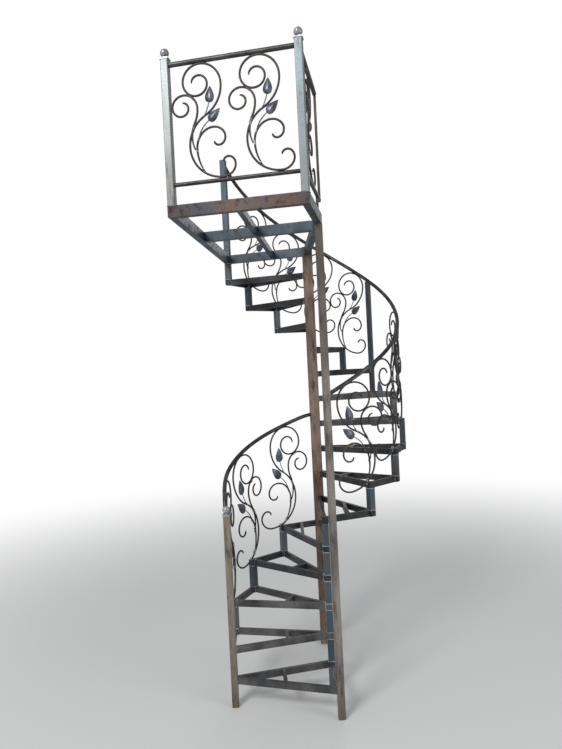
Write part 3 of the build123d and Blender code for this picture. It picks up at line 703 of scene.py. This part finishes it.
for corner in range(1, LOWER_CORNERS):
    angle = LOWER_START + corner * LOWER_STEP
    drop = LOWER_SLOPE + 2 * LOWER_SAG * (angle - LOWER_END_ANGLE)
    lean = LAST_LOWER_LEAN if corner == LOWER_CORNERS - 1 else LOWER_LEAN
    stair_scroll(
        f"lower_scroll_{corner}", CORE, LOWER_RADIUS, angle, 1, corner + LOWER_LEVEL,
        lower_rail_height(angle), drop, lean, LOWER_HOLD,
    )
count = 0
for corner in range(UPPER_CORNERS - 1):
    if corner != RAIL_POST_CORNER:
        count += 1
        angle = UPPER_START + corner * UPPER_STEP
        drop = EASY_SLOPE if angle < KNEE_ANGLE else STEEP_SLOPE
        stair_scroll(
            f"upper_scroll_{count}", COLUMN, UPPER_RADIUS, angle, -1, corner + UPPER_LEVEL,
            upper_rail_height(angle), drop,
            UPPER_LEAN if corner else FIRST_LEAN, UPPER_HOLD if corner else FIRST_HOLD,
        )
print("stair scrolls and their sizes:", made)

# %% [markdown]
# The landing's two panels hold the same scroll between a top and a bottom rail. The rails are
# plain round tube, so they are swept with the same tree as the bars.

# %% Landing panels
LOW_RAIL_DIAMETER = 0.022
TOP_RAIL_ABOVE, LOW_RAIL_ABOVE = 0.736, 0.107
NEWEL_FACE, END_BAR_FACE = 0.017, 0.007
SIDE_OVERHANG = 0.118
RAIL_STEPS = 8
FRONT_SHARES, SIDE_SHARES = (0.265, 0.72), (0.42,)
TOP_RAIL_Z = LANDING_TOP + TOP_RAIL_ABOVE - RAIL_DIAMETER / 2
LOW_RAIL_Z = LANDING_TOP + LOW_RAIL_ABOVE
PANEL_GAP = TOP_RAIL_Z - LOW_RAIL_Z - RAIL_DIAMETER / 2 - LOW_RAIL_DIAMETER / 2
PANEL_SIZE = PANEL_GAP / (SCROLL_TOP - SCROLL_LOW)
PANEL_FOOT = LOW_RAIL_Z + LOW_RAIL_DIAMETER / 2 - PANEL_SIZE * SCROLL_LOW


def triangles(mesh):
    return sum(len(face.vertices) - 2 for face in mesh.polygons)


def landing_panel(name, start, end, end_gap, shares):
    way = (end - start).normalized()
    along = math.degrees(math.atan2(way.y, way.x))
    first = start + way * NEWEL_FACE
    last = end - way * end_gap
    builder = bmesh.new()
    for height, wide in ((TOP_RAIL_Z, RAIL_DIAMETER), (LOW_RAIL_Z, LOW_RAIL_DIAMETER)):
        places = [first.lerp(last, step / RAIL_STEPS) for step in range(RAIL_STEPS + 1)]
        line = [Vector((*place, height)) for place in places]
        rail = bars_as_mesh(name + "_rail", [line], wide, finish["rail_steel"], end_share=1.0)
        builder.from_mesh(rail)
        bpy.data.meshes.remove(rail)
    for face in builder.faces:
        face.material_index = 2
    for share in shares:
        middle = first.lerp(last, share)
        hold = (SCROLL_WIDTH / 2, 0)
        scroll = place_scroll(name + "_part", middle, along, PANEL_FOOT, 0, PANEL_SIZE, hold)
        builder.from_mesh(scroll.data)
        bpy.data.objects.remove(scroll)
    mesh = bpy.data.meshes.new(name + "_bars")
    builder.to_mesh(mesh)
    builder.free()
    for material in (finish["scroll_iron"], leaf_finish, finish["rail_steel"]):
        mesh.materials.append(material)
    piece = bpy.data.objects.new(name + "_bars", mesh)
    bpy.context.scene.collection.objects.link(piece)
    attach(piece, "root")
    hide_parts(name)
    print(name, "triangles:", triangles(mesh))


side_end = FRONT_POST + (FRONT_POST - FRONT_RIGHT).normalized() * SIDE_OVERHANG
landing_panel("landing_front_panel", FRONT_LEFT, FRONT_RIGHT, NEWEL_FACE, FRONT_SHARES)
landing_panel("landing_side_panel", FRONT_RIGHT, side_end, END_BAR_FACE, SIDE_SHARES)

# %% [markdown]
# Every joint of the stair is welded by hand. A weld bead is a row of small overlapping drops,
# and the drops never come out equal. The helper collects the joint lines, and Geometry Nodes
# set a drop of random size on each step along them. The seed is fixed, so the beads stay put.

# %% Geometry Nodes tree that lays weld drops along lines
DROP_SEGMENTS, DROP_RINGS = 6, 4
SMALLEST_DROP, LARGEST_DROP = 0.7, 1.25
DROP_STEP = 1.5


def make_weld_tree():
    tree = bpy.data.node_groups.new("weld_beads", "GeometryNodeTree")
    group_socket(tree, "Geometry", "NodeSocketGeometry", "INPUT")
    group_socket(tree, "Step", "NodeSocketFloat", "INPUT", 0.005)
    group_socket(tree, "Drop Radius", "NodeSocketFloat", "INPUT", 0.003)
    group_socket(tree, "Seed", "NodeSocketInt", "INPUT", 1)
    group_socket(tree, "Finish", "NodeSocketMaterial", "INPUT")
    group_socket(tree, "Geometry", "NodeSocketGeometry", "OUTPUT")
    nodes, links = tree.nodes, tree.links
    given = nodes.new("NodeGroupInput")
    out = nodes.new("NodeGroupOutput")
    points = nodes.new("GeometryNodeResampleCurve")
    points.mode = "LENGTH"
    drop = nodes.new("GeometryNodeMeshUVSphere")
    drop.inputs["Segments"].default_value = DROP_SEGMENTS
    drop.inputs["Rings"].default_value = DROP_RINGS
    swell = nodes.new("FunctionNodeRandomValue")
    swell.data_type = "FLOAT"
    swell.inputs[2].default_value = SMALLEST_DROP
    swell.inputs[3].default_value = LARGEST_DROP
    place = nodes.new("GeometryNodeInstanceOnPoints")
    realize = nodes.new("GeometryNodeRealizeInstances")
    smooth = nodes.new("GeometryNodeSetShadeSmooth")
    paint = nodes.new("GeometryNodeSetMaterial")
    links.new(given.outputs["Geometry"], points.inputs["Curve"])
    links.new(given.outputs["Step"], points.inputs["Length"])
    links.new(given.outputs["Drop Radius"], drop.inputs["Radius"])
    links.new(given.outputs["Seed"], swell.inputs["Seed"])
    links.new(points.outputs["Curve"], place.inputs["Points"])
    links.new(drop.outputs["Mesh"], place.inputs["Instance"])
    links.new(swell.outputs[1], place.inputs["Scale"])
    links.new(place.outputs["Instances"], realize.inputs["Geometry"])
    links.new(realize.outputs["Geometry"], smooth.inputs["Geometry"])
    links.new(smooth.outputs["Geometry"], paint.inputs["Geometry"])
    links.new(given.outputs["Finish"], paint.inputs["Material"])
    links.new(paint.outputs["Geometry"], out.inputs["Geometry"])
    return tree


weld_tree = make_weld_tree()


def weld_piece(name, seams, radius, seed):
    curve = bpy.data.curves.new(name, "CURVE")
    curve.dimensions = "3D"
    for seam in seams:
        spline = curve.splines.new("POLY")
        spline.points.add(len(seam) - 1)
        for index, point in enumerate(seam):
            spline.points[index].co = (*point, 1)
    holder = bpy.data.objects.new(name, curve)
    bpy.context.scene.collection.objects.link(holder)
    beads = holder.modifiers.new("beads", "NODES")
    beads.node_group = weld_tree
    modifier_input(beads, weld_tree, "Step", radius * DROP_STEP)
    modifier_input(beads, weld_tree, "Drop Radius", radius)
    modifier_input(beads, weld_tree, "Seed", seed)
    modifier_input(beads, weld_tree, "Finish", weld_finish)
    bpy.context.view_layer.update()
    seen = holder.evaluated_get(bpy.context.evaluated_depsgraph_get())
    mesh = bpy.data.meshes.new_from_object(seen)
    bpy.data.objects.remove(holder)
    piece = bpy.data.objects.new(name, mesh)
    bpy.context.scene.collection.objects.link(piece)
    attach(piece, "root")
    print(name, "seams:", len(seams), "triangles:", triangles(mesh))


# %% Weld lines round the posts
HALF_POST = 0.020
FRAME_HEIGHT = 0.040
BEAM_HEIGHT = 0.060
CORE_POSTS = 6
FINE_DROP = 0.0028


def square_seam(centre, half, turn, height):
    corners = [polar(centre, half * math.sqrt(2), turn + 45 + 90 * k) for k in range(5)]
    return [Vector((corner.x, corner.y, height)) for corner in corners]


def post_seam_pair(at, turn, level, thick=FRAME_HEIGHT):
    post_seams.append(square_seam(at, HALF_POST, turn, (level - 1) * RISE))
    post_seams.append(square_seam(at, HALF_POST, turn, level * RISE - thick))


post_seams = []
for corner in range(1, LOWER_CORNERS):
    angle = LOWER_START + corner * LOWER_STEP
    post_seam_pair(polar(CORE, LOWER_RADIUS, angle), angle, corner + LOWER_LEVEL)
for level in range(1, CORE_POSTS):
    post_seams.append(square_seam(CORE, HALF_POST, 0, level * RISE))
    post_seams.append(square_seam(CORE, HALF_POST, 0, level * RISE - FRAME_HEIGHT))
for corner in range(UPPER_CORNERS):
    if corner != RAIL_POST_CORNER:
        angle = UPPER_START + corner * UPPER_STEP
        at = polar(COLUMN, UPPER_RADIUS, angle)
        thick = BEAM_HEIGHT if corner == UPPER_CORNERS - 1 else FRAME_HEIGHT
        post_seam_pair(at, angle, corner + UPPER_LEVEL, thick)
front_way = FRONT_RIGHT - FRONT_LEFT
front_turn = math.degrees(math.atan2(front_way.y, front_way.x))
for at in (FRONT_LEFT, FRONT_RIGHT):
    post_seams.append(square_seam(at, HALF_POST, front_turn, LANDING_TOP))
weld_piece("post_welds", post_seams, FINE_DROP, seed=11)

# %% Weld lines where the treads meet the column, the core and their corner blocks
TUBE_HALF = 0.010
COLUMN_HALF = 0.035
BLOCK_FACE = 0.021
tread_seams = []


def tube_seams(start, end, start_gap, end_gap, top):
    way = (end - start).normalized()
    side = Vector((-way.y, way.x)) * TUBE_HALF
    for at, inward, gap in ((start, way, start_gap), (end, -way, end_gap)):
        face = at + inward * gap
        left, right = face + side, face - side
        low = top - FRAME_HEIGHT
        tread_seams.append([
            Vector((left.x, left.y, low)), Vector((left.x, left.y, top)),
            Vector((right.x, right.y, top)), Vector((right.x, right.y, low)),
        ])


def tread_seam_set(centre, half, radius, start, step, corner, top):
    near = polar(centre, radius, start + corner * step)
    far = polar(centre, radius, start + (corner + 1) * step)
    for outer in (near, far):
        way = (outer - centre).normalized()
        tube_seams(centre, outer, half / max(abs(way.x), abs(way.y)), HALF_POST, top)
    tube_seams(near, far, BLOCK_FACE, BLOCK_FACE, top)


for corner in range(UPPER_CORNERS - 1):
    top = (corner + UPPER_LEVEL) * RISE
    tread_seam_set(COLUMN, COLUMN_HALF, UPPER_RADIUS, UPPER_START, UPPER_STEP, corner, top)
for corner in range(LOWER_CORNERS - 1):
    top = (corner + LOWER_LEVEL) * RISE
    tread_seam_set(CORE, HALF_POST, LOWER_RADIUS, LOWER_START, LOWER_STEP, corner, top)
weld_piece("tread_welds", tread_seams, FINE_DROP, seed=23)

# %% Small dabs that hold the bars of each scroll together
DAB_DROP = 0.0045
weld_piece("scroll_welds", scroll_seams, DAB_DROP, seed=37)

# %% Heavy welds at the scroll feet and along the column
HEAVY_DROP = 0.0065
HEAVY_FACE = 0.037
HALF_DAB = Vector((0, 0, 0.012))
heavy_seams = [[foot - HALF_DAB, foot + HALF_DAB] for foot in scroll_feet]
for corner in range(UPPER_CORNERS):
    way = polar(COLUMN, 1, UPPER_START + corner * UPPER_STEP)
    face = way * HEAVY_FACE / max(abs(way.x), abs(way.y))
    level = min(corner + UPPER_LEVEL, LANDING_RISES - 1)
    middle = Vector((face.x, face.y, level * RISE - FRAME_HEIGHT / 2))
    heavy_seams.append([middle - HALF_DAB, middle + HALF_DAB])
weld_piece("heavy_welds", heavy_seams, HEAVY_DROP, seed=41)

# %% [markdown]
# The floor and the light stay plain: a pale floor that fades to white far away, a large soft
# lamp at the upper left as in the photo, a weaker one at the right, and an even world.

# %% Floor
FLOOR_RADIUS, FLOOR_SIDES = 40, 64
FLOOR_COLOUR, FLOOR_ROUGHNESS = (0.72, 0.72, 0.71, 1), 0.8
FADE_DISTANCE = (1.5, 7.0)


def make_floor():
    builder = bmesh.new()
    bmesh.ops.create_circle(builder, cap_ends=True, segments=FLOOR_SIDES, radius=FLOOR_RADIUS)
    mesh = bpy.data.meshes.new("floor")
    builder.to_mesh(mesh)
    builder.free()
    floor = bpy.data.objects.new("floor", mesh)
    bpy.context.scene.collection.objects.link(floor)
    material = bpy.data.materials.new("floor_paint")
    material.use_nodes = True
    nodes, links = material.node_tree.nodes, material.node_tree.links
    surface = nodes["Principled BSDF"]
    surface.inputs["Base Color"].default_value = FLOOR_COLOUR
    surface.inputs["Roughness"].default_value = FLOOR_ROUGHNESS
    place = nodes.new("ShaderNodeTexCoord")
    far = nodes.new("ShaderNodeVectorMath")
    far.operation = "LENGTH"
    fade = nodes.new("ShaderNodeMapRange")
    fade.interpolation_type = "SMOOTHSTEP"
    set_range(fade, "From", FADE_DISTANCE)
    path = nodes.new("ShaderNodeLightPath")
    seen = nodes.new("ShaderNodeMath")
    seen.operation = "MULTIPLY"
    white = nodes.new("ShaderNodeEmission")
    mix = nodes.new("ShaderNodeMixShader")
    links.new(place.outputs["Object"], far.inputs[0])
    links.new(far.outputs["Value"], fade.inputs["Value"])
    links.new(fade.outputs["Result"], seen.inputs[0])
    links.new(path.outputs["Is Camera Ray"], seen.inputs[1])
    links.new(seen.outputs[0], mix.inputs["Fac"])
    links.new(surface.outputs["BSDF"], mix.inputs[1])
    links.new(white.outputs["Emission"], mix.inputs[2])
    links.new(mix.outputs["Shader"], nodes["Material Output"].inputs["Surface"])
    mesh.materials.append(material)
    return floor


floor = make_floor()

# %% World and lamps
WORLD_COLOUR, WORLD_STRENGTH = (0.95, 0.97, 1.0, 1), 0.42
LAMP_SIZE = 3.0


def make_world():
    world = bpy.data.worlds.new("studio")
    bpy.context.scene.world = world
    world.use_nodes = True
    nodes, links = world.node_tree.nodes, world.node_tree.links
    nodes["Background"].inputs["Color"].default_value = WORLD_COLOUR
    nodes["Background"].inputs["Strength"].default_value = WORLD_STRENGTH
    white = nodes.new("ShaderNodeBackground")
    white.inputs["Color"].default_value = (1, 1, 1, 1)
    white.inputs["Strength"].default_value = 1.0
    path = nodes.new("ShaderNodeLightPath")
    direct = nodes.new("ShaderNodeMath")
    direct.operation = "MAXIMUM"
    mix = nodes.new("ShaderNodeMixShader")
    links.new(path.outputs["Is Camera Ray"], direct.inputs[0])
    links.new(path.outputs["Is Transmission Ray"], direct.inputs[1])
    links.new(direct.outputs[0], mix.inputs["Fac"])
    links.new(nodes["Background"].outputs["Background"], mix.inputs[1])
    links.new(white.outputs["Background"], mix.inputs[2])
    links.new(mix.outputs["Shader"], nodes["World Output"].inputs["Surface"])


def lamp(name, place, target, power):
    data = bpy.data.lights.new(name, "AREA")
    data.shape = "DISK"
    data.size = LAMP_SIZE
    data.energy = power
    holder = bpy.data.objects.new(name, data)
    holder.location = place
    holder.rotation_euler = (Vector(target) - Vector(place)).to_track_quat("-Z", "Y").to_euler()
    bpy.context.scene.collection.objects.link(holder)


make_world()
lamp("key_lamp", (-4.2, -7.0, 7.0), (-0.3, -0.6, 1.8), power=430)
lamp("fill_lamp", (5.0, -4.5, 3.0), (-0.3, -0.5, 1.8), power=90)
lamp("back_lamp", (1.0, 5.5, 4.5), (-0.3, -0.4, 2.0), power=40)
bpy.context.scene.view_settings.view_transform = "Standard"
